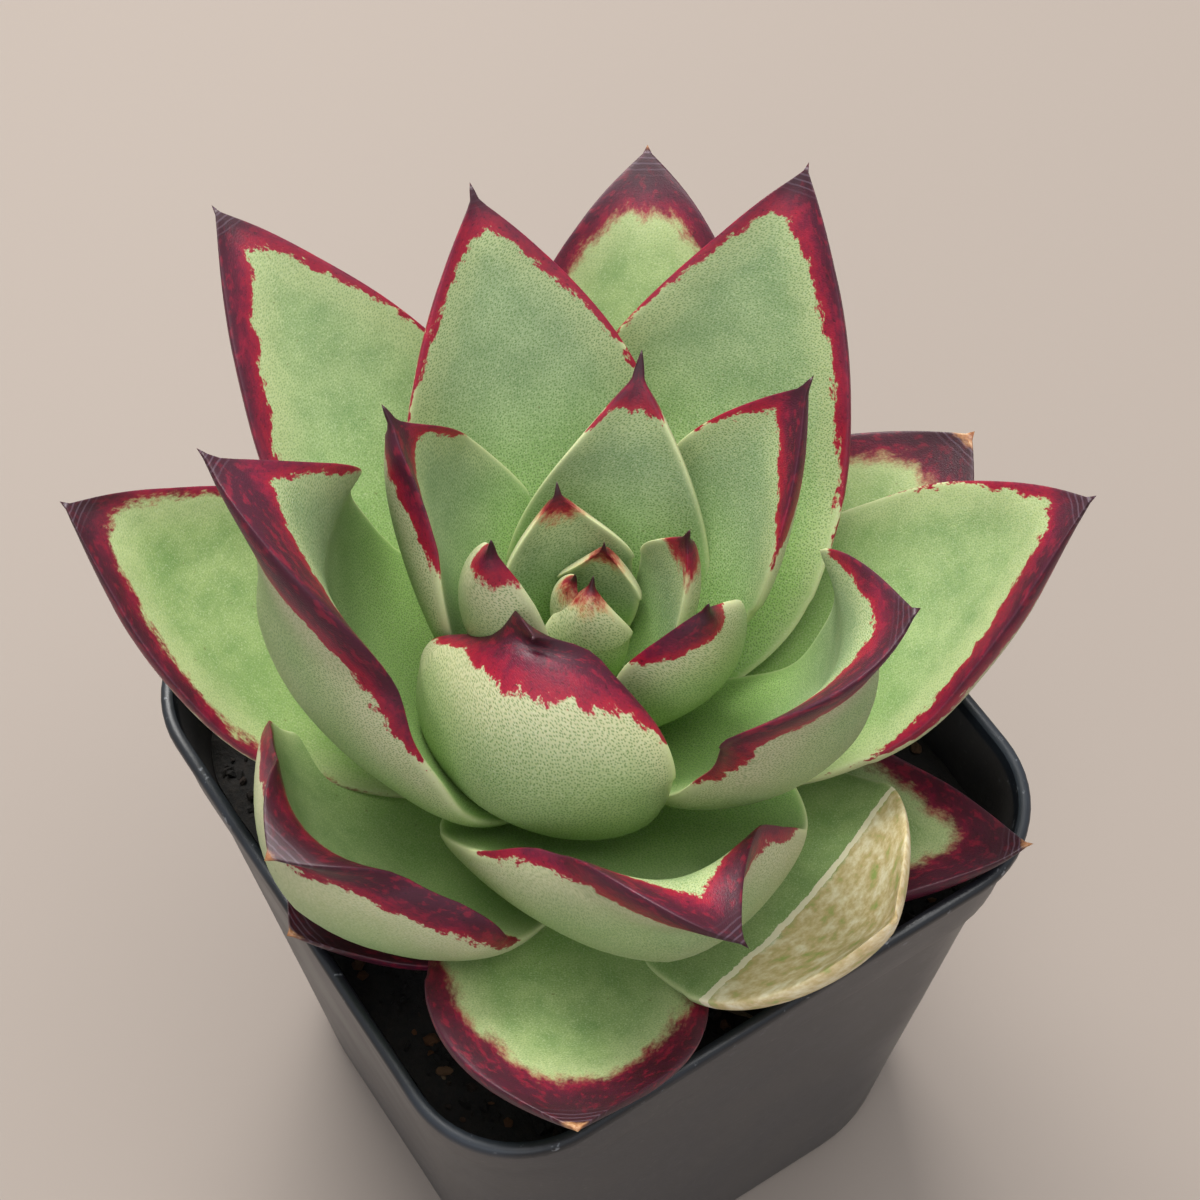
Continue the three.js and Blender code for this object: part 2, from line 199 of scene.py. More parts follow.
def sums(tree, operation, first, second):
    """One arithmetic step on two values, each a socket or a number."""
    node = add_node(tree, "ShaderNodeMath", operation=operation)
    for index, source in ((0, first), (1, second)):
        if isinstance(source, float):
            node.inputs[index].default_value = source
        else:
            tree.links.new(source, node.inputs[index])
    return node.outputs["Value"]


def tint(tree, colour, mask, strength, over):
    """Lays a second colour over the first one where a mask says, at most to a given strength."""
    return blend(tree, sums(tree, "MULTIPLY", mask, strength), colour, over)


def emboss(tree, shader, height, strength, depth):
    """Roughens a skin by a value, with the depth in metres."""
    bump = add_node(tree, "ShaderNodeBump", {"Strength": strength, "Distance": depth}, {"Height": height})
    tree.links.new(bump.outputs["Normal"], shader.inputs["Normal"])


def new_material(name):
    """A material, its node tree and its shader."""
    material = bpy.data.materials.new(name)
    material.use_nodes = True
    return material, material.node_tree, material.node_tree.nodes["Principled BSDF"]


# Black polypropylene from a matt mould: a satin skin with dust in its grain and pale scuffs near the lip.
# Below the rim the walls are painted a lighter grey than the near-black rim, as painted reflection of the
# pale board.
pot_plastic, tree, shader = new_material("moulded black polypropylene")
place = add_node(tree, "ShaderNodeTexCoord").outputs["Object"]
cloud = cloudy(tree, place, 55.0, 4.0)
grit = cloudy(tree, place, 1400.0, 2.0)
height = add_node(tree, "ShaderNodeSeparateXYZ", links={"Vector": place}).outputs["Z"]
# Painted reflection: the walls take a lighter grey for the pale board they mirror, and the rim keeps a
# near-black
body = blend(tree, span(tree, cloud, 0.35, 0.7), "#3a393b", "#474443")
dust_and_painted_reflection = blend(tree, span(tree, grit, 0.6, 0.8, 0.0, 0.35), body, "#77726c")
rim_skin = blend(tree, span(tree, cloud, 0.45, 0.65), "#15181d", "#252b33")
skin = blend(tree, span(tree, height, 0.0836, 0.0843), dust_and_painted_reflection, rim_skin)
scuff_lines = cloudy(tree, place, 420.0, 3.0, 0.7)
scuffs = sums(tree, "MULTIPLY", span(tree, scuff_lines, 0.63, 0.7), span(tree, height, 0.078, 0.0846))
tree.links.new(tint(tree, skin, scuffs, 0.55, "#8f9297"), shader.inputs["Base Color"])
tree.links.new(span(tree, cloud, 0.3, 0.7, 0.34, 0.46), shader.inputs["Roughness"])
emboss(tree, shader, grit, 0.25, 0.0001)

pot = bmesh.new()
lip_z = POT_HEIGHT - LIP
levels = [(z, FOOT_SIDE - side, FOOT_CORNER - corner) for z, side, corner in FOOT_EDGE]
levels += [(z, *wall_at(z)) for z in (1.6, 20, 40, 60, 71)]
levels += [(COLLAR_Z + up, side, corner) for up, side, corner in COLLAR_EDGE]
levels += [(z, *wall_at(z)) for z in (COLLAR_Z + 0.3, 78, 82, lip_z - 0.2)]
levels += [(POT_HEIGHT - down, RIM_SIDE - side, RIM_CORNER - corner) for down, side, corner in LIP_EDGE]
for z in (lip_z - 1, COLLAR_Z + COLLAR_STEP, COLLAR_FOOT, 40, FLOOR + 0.6, FLOOR):
    side, corner = wall_at(z)
    inset = WALL if z > FLOOR else WALL + FLOOR_FILLET
    levels.append((z, side - 2 * inset, corner - inset))
rings = square_shell(pot, levels)
for z, (_, edges) in ((0, rings[0]), (FLOOR, rings[-1])):
    outline = list(edges)
    for sx, sy in DRAIN_CORNERS:
        spot = Matrix.Translation((sx * DRAIN_OFFSET, sy * DRAIN_OFFSET, z))
        hole = bmesh.ops.create_circle(pot, segments=DRAIN_CUTS, radius=DRAIN_RADIUS, matrix=spot)["verts"]
        outline += list({edge for vert in hole for edge in vert.link_edges})
    bmesh.ops.triangle_fill(pot, use_beauty=True, edges=outline, normal=(0, 0, 1 if z else -1))
open_edges = [edge for edge in pot.edges if edge.is_boundary]
for sx, sy in DRAIN_CORNERS:
    centre = Vector((sx * DRAIN_OFFSET, sy * DRAIN_OFFSET))
    pair = [edge for edge in open_edges if (edge.verts[0].co.xy - centre).length < DRAIN_RADIUS + 0.5]
    bmesh.ops.bridge_loops(pot, edges=pair)
# The long straight walls of a thin moulding are never quite flat
for vert in pot.verts:
    wave = abs(noise.noise(vert.co * WAVE_PITCH + WAVE_START))
    outwards = Vector((vert.co.x, vert.co.y, 0)).normalized()
    vert.co -= outwards * (SAG + SAG_SWING * wave) * min(1.0, vert.co.z / SAG_FULL_AT)
bmesh.ops.recalc_face_normals(pot, faces=pot.faces[:])
finish_piece("nursery_pot", pot, pot_plastic, ["pot"])


# Potting mix: composted bark and grit, watered and settled to a centimetre under the lip, nearly black
# while it is damp. Loose crumbs of bark lie on it, some of them dry and tan.

SOIL_Z, SOIL_BUMP, SOIL_GAP = 73.0, 0.9, 0.3
SOIL_RINGS, SOIL_RINGED, RIM_DIP = 26, 0.92, 0.6
SEED = 7

# Crumbs: how many, over which half width, least size and how much larger, and where none lie: past the
# mix's sides and corners and close round the stem
CRUMBS, CRUMB_FIELD, CRUMB_LEAST, CRUMB_MORE = 2200, 40, 0.35, 1.1
MIX_SIDE, MIX_CORNER, STEM_CLEAR = 39, 70, 8

# A dry twig and chips of bark by the corners in rows: place, length, width, heading and dryness
LITTER = ((36.4, -2.3, 5.6, 0.7, 35, 1.0), (37.4, 2.4, 3.4, 1.3, 10, 0.86),
          (23.4, -37.0, 2.3, 1.2, 60, 0.95), (30.7, -32.6, 1.9, 1.1, 20, 0.95),
          (-36.0, -20.0, 2.6, 1.2, 80, 0.93), (-37.0, -27.5, 1.8, 0.9, 15, 0.9))


def soil_top(x, y):
    """Height of the mix, which lies in low mounds."""
    wave = math.sin(0.31 * x + 1.3) * math.cos(0.27 * y - 0.6) + 0.6 * math.sin(0.63 * x - 0.45 * y)
    return SOIL_Z + SOIL_BUMP * wave


damp_mix, tree, shader = new_material("damp bark potting mix")
place = add_node(tree, "ShaderNodeTexCoord").outputs["Object"]
lumps = cloudy(tree, place, 700.0, 5.0, 0.7)
crumb = carried(tree, "crumb")
dark = ramp(tree, lumps, [(0.35, "#070605"), (0.6, "#17120d"), (0.8, "#2b2018")])
bark = ramp(tree, crumb, [(0.0, "#0b0908"), (0.55, "#16110c"), (0.8, "#3a2413"), (0.93, "#7c4c1f"),
                          (1.0, "#9a8466")])
tree.links.new(blend(tree, span(tree, crumb, 0.01, 0.02), dark, blend(tree, 0.6, bark, dark)),
               shader.inputs["Base Color"])
shader.inputs["Roughness"].default_value = 0.85
emboss(tree, shader, lumps, 0.8, 0.0006)

soil = bmesh.new()
crumb_layer = soil.verts.layers.float.new("crumb")
inset = WALL + SOIL_GAP
soil_levels = []
for z in (FLOOR + SOIL_GAP, COLLAR_FOOT):
    side, corner = wall_at(z)
    soil_levels.append((z, side - 2 * inset, corner - inset))
top_side, top_corner = soil_levels[-1][1:]
for index in range(SOIL_RINGS):
    share = 1 - index / SOIL_RINGS * SOIL_RINGED
    soil_levels.append((SOIL_Z, top_side * share, top_corner * share))
soil_rings = square_shell(soil, soil_levels)
for index, (verts, _) in enumerate(soil_rings[2:]):
    for vert in verts:
        rough = noise.noise(vert.co * 0.9) * 0.35 + noise.noise(vert.co * 0.25) * 0.3
        vert.co.z = soil_top(vert.co.x, vert.co.y) + rough - (0.0 if index else RIM_DIP)
for _, edges in (soil_rings[0], soil_rings[-1]):
    bmesh.ops.edgeloop_fill(soil, edges=edges)
chance = random.Random(SEED)
noise.seed_set(SEED)
for _ in range(CRUMBS):
    x, y = chance.uniform(-CRUMB_FIELD, CRUMB_FIELD), chance.uniform(-CRUMB_FIELD, CRUMB_FIELD)
    size = CRUMB_LEAST + CRUMB_MORE * chance.random() ** 3
    shape = Matrix.Diagonal((size * chance.uniform(0.7, 1.6), size * chance.uniform(0.5, 1.1),
                             size * chance.uniform(0.35, 0.8), 1))
    turn = Quaternion(Vector((chance.uniform(-1, 1), chance.uniform(-1, 1), chance.uniform(-1, 1))),
                      chance.uniform(0, 3)).to_matrix().to_4x4()
    shade = 0.03 + 0.97 * chance.random()
    if max(abs(x), abs(y)) > MIX_SIDE or abs(x) + abs(y) > MIX_CORNER or math.hypot(x, y) < STEM_CLEAR:
        continue
    spot = Matrix.Translation((x, y, soil_top(x, y) + 0.15 * size)) @ turn @ shape
    for vert in bmesh.ops.create_icosphere(soil, subdivisions=1, radius=1, matrix=spot)["verts"]:
        ragged = Vector((noise.noise(vert.co * 1.7), noise.noise(vert.co * 1.9 + Vector((9, 0, 0))), 0))
        vert.co += ragged * size * 0.4
        vert[crumb_layer] = shade
for x, y, length, width, heading, shade in LITTER:
    spot = Matrix.Translation((x, y, soil_top(x, y) + 0.6)) @ Matrix.Rotation(math.radians(heading), 4, "Z")
    spot = spot @ Matrix.Diagonal((length / 2, width / 2, width / 3, 1))
    for vert in bmesh.ops.create_icosphere(soil, subdivisions=2, radius=1, matrix=spot)["verts"]:
        vert.co += noise.noise_vector(vert.co * 1.3) * 0.25
        vert[crumb_layer] = shade
bmesh.ops.recalc_face_normals(soil, faces=soil.faces[:])
finish_piece("potting_mix", soil, damp_mix, ["soil"], sharp=30)


# Stem: the short fleshy stem that every leaf grows from. It stands in the mix, and its skin is ringed with
# the scars of leaves that have dropped.

CROWN_ABOVE_RIM, CROWN_RADIUS, STEM_SPREAD, OLDEST = 26.0, 1.0, 6.0, 29
STEM_FOOT_RADIUS, STEM_FOOT_Z, STEM_FOOT_EDGE, STEM_GAP = 6.5, SOIL_Z - 24.0, 0.6, 0.3
STEM_RINGS, STEM_AROUND, SCAR_DEPTH, YOUNGEST = 34, 40, 0.25, 1.5


def stem_at(n):
    """Radius and height of the stem where leaf n leaves it."""
    age = n / OLDEST
    return CROWN_RADIUS + STEM_SPREAD * age ** 0.6, POT_HEIGHT + CROWN_ABOVE_RIM * (1 - age ** 0.75)


stem_skin, tree, shader = new_material("corky green stem skin")
place = add_node(tree, "ShaderNodeTexCoord").outputs["Object"]
cork = cloudy(tree, place, 500.0, 4.0)
rise = add_node(tree, "ShaderNodeSeparateXYZ", links={"Vector": place}).outputs["Z"]
woody = ramp(tree, cork, [(0.3, "#4a3b26"), (0.7, "#8a7650")])
green = ramp(tree, cork, [(0.3, "#7d9154"), (0.7, "#9db07a")])
tree.links.new(blend(tree, span(tree, rise, 0.084, 0.094), woody, green), shader.inputs["Base Color"])
shader.inputs["Roughness"].default_value = 0.6
emboss(tree, shader, cork, 0.5, 0.0004)

stem = bmesh.new()
profile = [Vector((0, 0, STEM_FOOT_Z)), Vector((STEM_FOOT_RADIUS - STEM_FOOT_EDGE, 0, STEM_FOOT_Z)),
           Vector((STEM_FOOT_RADIUS, 0, STEM_FOOT_Z + 1))]
for index in range(STEM_RINGS):
    radius, z = stem_at(OLDEST - (OLDEST - YOUNGEST) * index / (STEM_RINGS - 1))
    profile.append(Vector((radius - STEM_GAP - SCAR_DEPTH * (index % 2), 0, z)))
profile.append(Vector((0, 0, POT_HEIGHT + CROWN_ABOVE_RIM - 1)))
line = [stem.verts.new(point) for point in profile]
edges = [stem.edges.new(pair) for pair in zip(line, line[1:])]
bmesh.ops.spin(stem, geom=line + edges, axis=(0, 0, 1), cent=(0, 0, 0), angle=math.tau, steps=STEM_AROUND,
               use_merge=True)
bmesh.ops.remove_doubles(stem, verts=stem.verts[:], dist=0.001)
bmesh.ops.recalc_face_normals(stem, faces=stem.faces[:])
finish_piece("stem_flesh", stem, stem_skin, ["stem"])


# Leaves: thick water-filled leaves in a clockwise spiral, each an egg-shaped blade that is flat or hollow
# above, bellied below and drawn out to a dark spine. Strong light has turned their margins wine red.

GOLDEN_ANGLE, FIRST_AZIMUTH = 137.5, 243.0

# Outline: width of the neck as a share, and how the blade of an older leaf is longer and fuller before it
# melts into the spine, whose own half width falls off towards a small round point
NECK, YOUNG_BLADE, BLADE_GROWTH, OLD_BLADE = 0.6, 0.8, 0.012, 0.975
YOUNG_FULLNESS, FULLNESS_GROWTH, FULLEST = 1.15, 0.08, 2.0
SPINE_HALF, SPINE_TAPER, TIP_RADIUS, TIP_LENGTH, MELT = 1.3, 4.0, 0.3, 1.6, 1.5

# Thickness: share of the width and flesh on top of it, below and above, its part at the foot, where it is
# full and how it falls off, the keel below, and the squareness and roundness of the section
BELLY, BELLY_FLESH, FULL_GROWN, CROWNING, CROWNING_FLESH = 0.11, 1.9, 12, 0.035, 0.3
FOOT_DEPTH, FULL_DEPTH_AT, DEPTH_FALL = 0.55, 0.45, 2.2
KEEL, KEEL_FROM, KEEL_FULL_AT = 0.16, 0.35, 0.8
SQUARENESS, ROUNDNESS = 2.4, 0.45

# The cup and the roll grow quickly from the foot, and where a strong hook turns the spine the cup flattens
CUP_GROWTH, ROLL_GROWTH = 1.3, 1.5
TURN_END, FLATTENING, STRONG_HOOK = 0.96, 0.9, 60
LEAF_AROUND, LEAF_ALONG, STRIDES = 64, 56, 6

# Shape, from the bud outwards: place off the spiral, rise at the foot and at the point, length, width,
# roll, cup, sideways sweep, hook of the spine, where along it the leaf is widest, and over which share of
# its length the spine turns out
LeafShape = namedtuple("LeafShape", "lean foot point long wide roll cup sweep hook widest turn")
SHAPES = {n: LeafShape(*row) for n, row in {
    1: (-1, 86, 102, 16.5, 8, 0, 0.25, 2, 8, 0.56, 0.11),
    2: (14, 72, 83, 16.5, 10, 6, 0.25, 15, 11, 0.56, 0.11),
    3: (6, 67, 129, 20, 9.8, -3, 0.24, -31, 7, 0.54, 0.11),
    4: (-25, 70, 67, 24, 15.6, -1, 0.3, -14, 13, 0.5, 0.11),
    5: (12, 55, 87, 28.5, 12.2, 3, 0.25, 22, 13, 0.55, 0.11),
    6: (-11, 58, 101, 39.5, 17.5, 6, 0.4, 2, 10, 0.5, 0.11),
    7: (-9, 52, 63, 40, 25, 7, 0.3, 7, 15, 0.23, 0.12),
    8: (22, 41, 98, 38, 18, -20, 0.4, -5, 16, 0.53, 0.12),
    9: (-16, 38, 85, 45.5, 26, 29, 0.42, -16, 34, 0.37, 0.13),
    10: (5, 42, 68, 48.5, 22, -4, 0.32, 5, 15, 0.44, 0.12),
    11: (-2, 3, 163, 48, 34, -13, 0.45, 1, 118, 0.6, 0.08),
    12: (-8, 35, 56, 61, 33, 4, 0.32, 2, 15, 0.35, 0.12),
    13: (-16, 20, 106, 70, 27, -11, 0.6, 45.5, 58, 0.72, 0.2),
    14: (-5.5, 11, 143, 75, 41, 18, 0.58, -47, 109, 0.28, 0.3),
    15: (-2, 23, 60, 68.5, 39, 2, 0.34, 8, 17, 0.28, 0.12),
    16: (-2, -10, 110, 60.5, 43.5, -20, 0.56, 36, 122, 0.2, 0.22),
    17: (-13, 18, 49, 73.5, 33.5, -1, 0.27, -1, 15, 0.32, 0.12),
    18: (0, -1, 70, 68, 35, -4, 0.23, 0, 26, 0.42, 0.13),
    19: (-8, -30, 110, 60.5, 40.5, 3, 0.47, -1, 99, 0.58, 0.1),
    20: (-13, 21, 42, 68, 30, 1, 0.25, 8, 16, 0.54, 0.12),
    21: (-3, -27, 60, 51, 37, 1, 0.18, 14, -5, 0.6, 0.11),
    22: (-9, -1, 61, 68.5, 36, -2, 0.32, -6, 19, 0.44, 0.12),
    23: (-8, -6, 37, 57, 32, 1, 0.24, 6, 6, 0.55, 0.11),
    24: (1, -12, 43, 57.5, 33.5, -9, 0.12, 17, 5, 0.57, 0.11),
    25: (0, -6, 34, 55, 32, 0, 0.2, 0, 5, 0.55, 0.11),
    26: (-11, -25, 32, 53, 28, -10, 0.26, 16, 5, 0.36, 0.11),
    27: (7, -18, 26, 41, 30, -2, 0.23, 1, 2, 0.58, 0.1),
    28: (0, -22, 28, 52, 30, 0, 0.2, 0, 0, 0.55, 0.1),
}.items()}

# Red skin: depth of the band, in millimetres, along the margin that faces round the spiral and along the
# other one, the same on the underside as a share, where along the leaf each band starts from nothing,
# reach of the cap at the point, softness of its border, and length of the dried point
LeafRed = namedtuple("LeafRed", "plus minus under begin_plus begin_minus cap soft dried")
REDS = {n: LeafRed(*row) for n, row in {
    1: (-3, -3, 1.0, 0.6, 0.6, 3.6, 1.6, 0),
    2: (-3, -3, 1.0, 0.6, 0.6, 3.2, 1.6, 0),
    3: (-3, -3, 1.0, 0.6, 0.6, 3.4, 1.6, 0),
    4: (-3, -3, 1.0, 0.6, 0.6, 4.2, 1.5, 0),
    5: (-3, 0.6, 1.0, 0.6, 0.74, 5.6, 1.0, 0),
    6: (-3, -3, 1.0, 0.7, 0.7, 6.2, 0.5, 0),
    7: (2.6, 2.0, 0.8, 0.66, 0.7, 7.5, 0.3, 0),
    8: (-3, 6.0, 1.0, 0.8, 0.62, 4.8, 0.3, 0),
    9: (6.5, 2.4, 0.9, 0.5, 0.5, 6.0, 0.3, 0),
    10: (2.4, 6.5, 0.9, 0.5, 0.5, 6.0, 0.3, 0),
    11: (6.0, 6.0, 1.0, 0.66, 0.58, 9.5, 0.3, 0),
    12: (2.2, 2.6, 1.0, 0.2, 0.25, 6.0, 0.3, 0),
    13: (5.0, 6.6, 1.0, 0.74, 0.36, 7.0, 0.3, 0),
    14: (8.5, 3.0, 1.0, 0.36, 0.5, 7.0, 0.3, 0),
    15: (2.0, 4.8, 0.9, 0.2, 0.2, 7.0, 0.3, 0),
    16: (6.0, 6.0, 0.8, 0.45, 0.3, 5.0, 0.3, 0),
    17: (5.0, 2.2, 0.8, 0.12, 0.15, 6.5, 0.3, 0),
    18: (1.6, 5.0, 0.8, 0.2, 0.2, 6.5, 0.3, 0),
    19: (7.0, 5.0, 1.1, 0.36, 0.5, 8.0, 0.3, 1.0),
    20: (4.2, 4.2, 0.8, 0.3, 0.3, 9.0, 1.3, 0.5),
    21: (-3, -3, 1.0, 0.8, 0.8, -2.0, 0.5, 3.0),
    22: (5.0, 2.0, 0.8, 0.1, 0.2, 7.0, 0.8, 0),
    23: (5.5, 6.0, 0.8, 0.1, 0.2, 9.0, 1.8, 1.8),
    24: (7.5, 8.0, 0.8, 0.25, 0.25, 10.0, 1.5, 1.4),
    25: (3.8, 3.8, 0.8, 0.2, 0.2, 8.0, 0.6, 1.0),
    26: (6.0, 7.5, 0.8, 0.0, 0.0, 10.0, 1.6, 1.2),
    27: (30.0, 30.0, 1.0, -1.0, -1.0, 9.0, 0.6, 0.8),
    28: (3.8, 3.8, 0.8, 0.2, 0.2, 8.0, 0.6, 1.5),
}.items()}


def smooth(low, high, value):
    """Rises from 0 to 1, gently at both ends."""
    share = min(1.0, max(0.0, (value - low) / (high - low)))
    return share * share * (3 - 2 * share)


def half_width(n, t):
    """Half the width of leaf n at a share t of its length."""
    leaf = SHAPES[n]
    if t < leaf.widest:
        return leaf.wide / 2 * (NECK + (1 - NECK) * math.sin(math.pi / 2 * t / leaf.widest))
    blade_end = min(OLD_BLADE, YOUNG_BLADE + BLADE_GROWTH * n)
    fullness = min(FULLEST, YOUNG_FULLNESS + FULLNESS_GROWTH * n)
    past = (t - leaf.widest) / (1 - leaf.widest)
    to_point = (1 - t) * leaf.long
    blade = leaf.wide / 2 * max(0.0, 1 - min(1.0, past / blade_end) ** fullness)
    spine = SPINE_HALF * (1 - math.exp(-to_point / SPINE_TAPER))
    return max(TIP_RADIUS * min(1.0, to_point / TIP_LENGTH), (blade ** MELT + spine ** MELT) ** (1 / MELT))


def leaf_depth(t):
    """Thickness of a leaf along its length, as a share of its greatest."""
    body = FOOT_DEPTH + (1 - FOOT_DEPTH) * math.sin(math.pi / 2 * min(1.0, t / FULL_DEPTH_AT))
    return body * (1 - max(0.0, (t - FULL_DEPTH_AT) / (1 - FULL_DEPTH_AT)) ** DEPTH_FALL)


def midrib(n):
    """Place, side, face and share of the cup at each ring of a leaf, along an arc that turns sideways."""
    leaf = SHAPES[n]
    azimuth = FIRST_AZIMUTH - GOLDEN_ANGLE * (n - 1) + leaf.lean
    radius, z = stem_at(n)
    start = math.radians(azimuth)
    place = Vector((radius * math.cos(start), radius * math.sin(start), z))
    frames = []
    for index in range(LEAF_ALONG + 1):
        for part in range(STRIDES if index else 1):
            t = (index - 1 + (part + 0.5) / STRIDES) / LEAF_ALONG if index else 0.0
            turned = min(1.0, max(0.0, (t - TURN_END + leaf.turn) / leaf.turn))
            rise = math.radians(leaf.foot + (leaf.point - leaf.foot) * t - leaf.hook * turned)
            heading = math.radians(azimuth + leaf.sweep * t * t)
            outwards = Vector((math.cos(heading), math.sin(heading), 0)) * math.cos(rise)
            along = outwards + Vector((0, 0, math.sin(rise)))
            if index:
                place = place + along * leaf.long / LEAF_ALONG / STRIDES
        side = Vector((-math.sin(heading), math.cos(heading), 0))
        side = Quaternion(along, math.radians(leaf.roll) * min(1.0, ROLL_GROWTH * index / LEAF_ALONG)) @ side
        level = 1 - FLATTENING * (turned if index else 0.0) * min(1.0, abs(leaf.hook) / STRONG_HOOK)
        frames.append((place, side, along.cross(side), level))
    return frames


def leaf_ring(n, t, level):
    """One ring of a leaf: points across and over its midrib, and how far round the skin each one lies."""
    leaf, half = SHAPES[n], half_width(n, t)
    lift = leaf.cup * half * min(1.0, CUP_GROWTH * t) * level
    above = CROWNING * leaf.wide + CROWNING_FLESH
    below = BELLY * leaf.wide + BELLY_FLESH * min(1.0, leaf.wide / FULL_GROWN)
    points, around = [], [0.0]
    for step in range(LEAF_AROUND):
        angle = math.tau * step / LEAF_AROUND
        across, up = math.cos(angle), math.sin(angle)
        keel = 1 + KEEL * smooth(KEEL_FROM, KEEL_FULL_AT, t) * (1 - abs(across)) ** 2
        depth = min(half, max(TIP_RADIUS, leaf_depth(t) * (above if up > 0 else below * keel)))
        bulge = math.copysign((1 - min(1.0, abs(across)) ** SQUARENESS) ** ROUNDNESS, up)
        points.append(Vector((across * half, lift * across ** 2 + depth * bulge)))
    for step in range(LEAF_AROUND):
        around.append(around[-1] + (points[(step + 1) % LEAF_AROUND] - points[step]).length)
    return points, around


# Bands reach their depth at a share of the length, end softly over a few millimetres and fade out behind
# their start. A cap melts into them.
BAND_FULL_AT, BAND_END, BAND_FADE, CAP_MELT = 0.88, 2, 25, 1.5

# Growth marks in millimetres: waves of the margin and shallow hollows, in full from a half width on. The
# pores fade from one leaf's age to another's.
RIPPLE, RIPPLE_PITCH, HOLLOW, FULL_MARKS = 0.25, 0.32, 0.22, 3
PORES_LOST, PORES_FADE = 0.6, (13, 20)

# Damage: one leaf has a dark spot on its underside, and one is scarred from a line outwards. On the other
# leaves both are far away.
SPOTTED_LEAF, SPOT_ALONG, SPOT_ACROSS, SPOT_RADIUS, SPOT_STRETCH = 19, 19, 14.6, 1.6, 0.7
SCARRED_LEAF, SCAR_FROM = 21, 33.5
FAR_AWAY = -9.0

# Spacing that keeps the patterns of two leaves apart
PLAN_APART, FLAT_APART = 60, 90
LEAF_LAYERS = ("blush", "upper", "edge", "tip", "foot", "age", "soft", "stipple", "dry", "scar")


def band_reach(t, band, begin):
    """How far in from the margin a red band comes, in millimetres: it starts from nothing and widens."""
    grown = min(1.0, max(0.0, (t - begin) / (BAND_FULL_AT - begin)))
    return (band + BAND_END) * grown - BAND_END - BAND_FADE * max(0.0, begin - t)


def grow_leaf(n):
    """One closed leaf from a sphere whose poles are the foot and the point, with its skin's measures."""
    long, red = SHAPES[n].long, REDS[n]
    frames = midrib(n)
    rings = [leaf_ring(n, index / LEAF_ALONG, level) for index, (*_, level) in enumerate(frames)]
    bm = bmesh.new()
    layers = {name: bm.verts.layers.float.new(name) for name in LEAF_LAYERS}
    plan = bm.verts.layers.float_vector.new("plan")
    flat = bm.verts.layers.float_vector.new("flat")
    verts = bmesh.ops.create_uvsphere(bm, u_segments=LEAF_AROUND, v_segments=LEAF_ALONG, radius=1)["verts"]
    for vert in verts:
        index = round(math.acos(max(-1.0, min(1.0, -vert.co.z))) / math.pi * LEAF_ALONG)
        t = index / LEAF_ALONG
        step = round(math.atan2(vert.co.y, vert.co.x) / math.tau * LEAF_AROUND) % LEAF_AROUND
        points, around = rings[index]
        across, up = math.cos(math.tau * step / LEAF_AROUND), math.sin(math.tau * step / LEAF_AROUND)
        shore, rise = points[step]
        if index in (0, LEAF_ALONG):
            shore, rise, across, up = 0.0, 0.0, 0.0, 0.0
        ripple = RIPPLE * math.sin(RIPPLE_PITCH * t * long + 1.7 * n) * abs(across) ** 3
        hollow = HOLLOW * noise.noise(Vector((shore * 0.12, t * long * 0.1, 3.7 * n))) * (1 - across ** 2)
        body = min(1.0, points[0].x / FULL_MARKS)
        place, side, face, _ = frames[index]
        vert.co = place + side * shore + face * (rise + (ripple + hollow) * body)
        to_plus = min(around[step], around[-1] - around[step])
        to_minus = abs(around[step] - around[LEAF_AROUND // 2])
        point_mm = (1 - t) * long
        upper = smooth(-0.25, 0.25, up)
        share = upper + red.under * (1 - upper)
        bands = max(band_reach(t, red.plus * share, red.begin_plus) - to_plus,
                    band_reach(t, red.minus * share, red.begin_minus) - to_minus)
        capped = red.cap - point_mm
        melted = max(0.0, CAP_MELT - abs(bands - capped)) ** 2 / (4 * CAP_MELT)
        spot = FAR_AWAY
        if n == SPOTTED_LEAF and up < 0:
            spot = SPOT_RADIUS - math.hypot(t * long - SPOT_ALONG, (shore - SPOT_ACROSS) * SPOT_STRETCH)
        vert[layers["blush"]] = max(bands, capped, spot) + melted
        vert[layers["upper"]] = upper
        vert[layers["edge"]] = min(to_plus, to_minus)
        vert[layers["tip"]] = point_mm
        vert[layers["foot"]] = t
        vert[layers["age"]] = n / len(SHAPES)
        vert[layers["soft"]] = red.soft
        vert[layers["stipple"]] = 1 - PORES_LOST * smooth(*PORES_FADE, n)
        vert[layers["dry"]] = red.dried - point_mm if red.dried else FAR_AWAY
        vert[layers["scar"]] = t * long - SCAR_FROM if n == SCARRED_LEAF else FAR_AWAY
        girth = around[-1] / math.tau
        turn = math.tau * around[step] / max(0.001, around[-1])
        vert[plan] = Vector((girth * math.cos(turn) + PLAN_APART * n, girth * math.sin(turn), t * long))
        vert[flat] = Vector((math.copysign(to_plus, up) + FLAT_APART * n, t * long, 0))
    bmesh.ops.recalc_face_normals(bm, faces=bm.faces[:])
    return bm


# Succulent leaf skin: a waxy cuticle over green, water-filled tissue. The wax scatters light into a soft
# sheen, the red sits just under it in ragged streaks, and small dark pores dot the younger leaves.
leaf_skin, tree, shader = new_material("waxy succulent leaf skin")
value = {name: carried(tree, name) for name in LEAF_LAYERS}
plan = carried(tree, "plan", "Vector")
drawn_out = {1: (1.0, 1.0, 0.5)}
streaked = add_node(tree, "ShaderNodeVectorMath", drawn_out, {0: plan}, operation="MULTIPLY").outputs[0]


def leaf_noise(scale, detail, place=plan):
    """A cloudy value in the leaf's own millimetres."""
    return cloudy(tree, place, scale, detail, 0.6)


def streaks(scale, detail, reach):
    """Streaks along the leaf that carry a border in or out by up to half of a reach, in millimetres."""
    return sums(tree, "MULTIPLY", sums(tree, "SUBTRACT", leaf_noise(scale, detail, streaked), 0.5), reach)
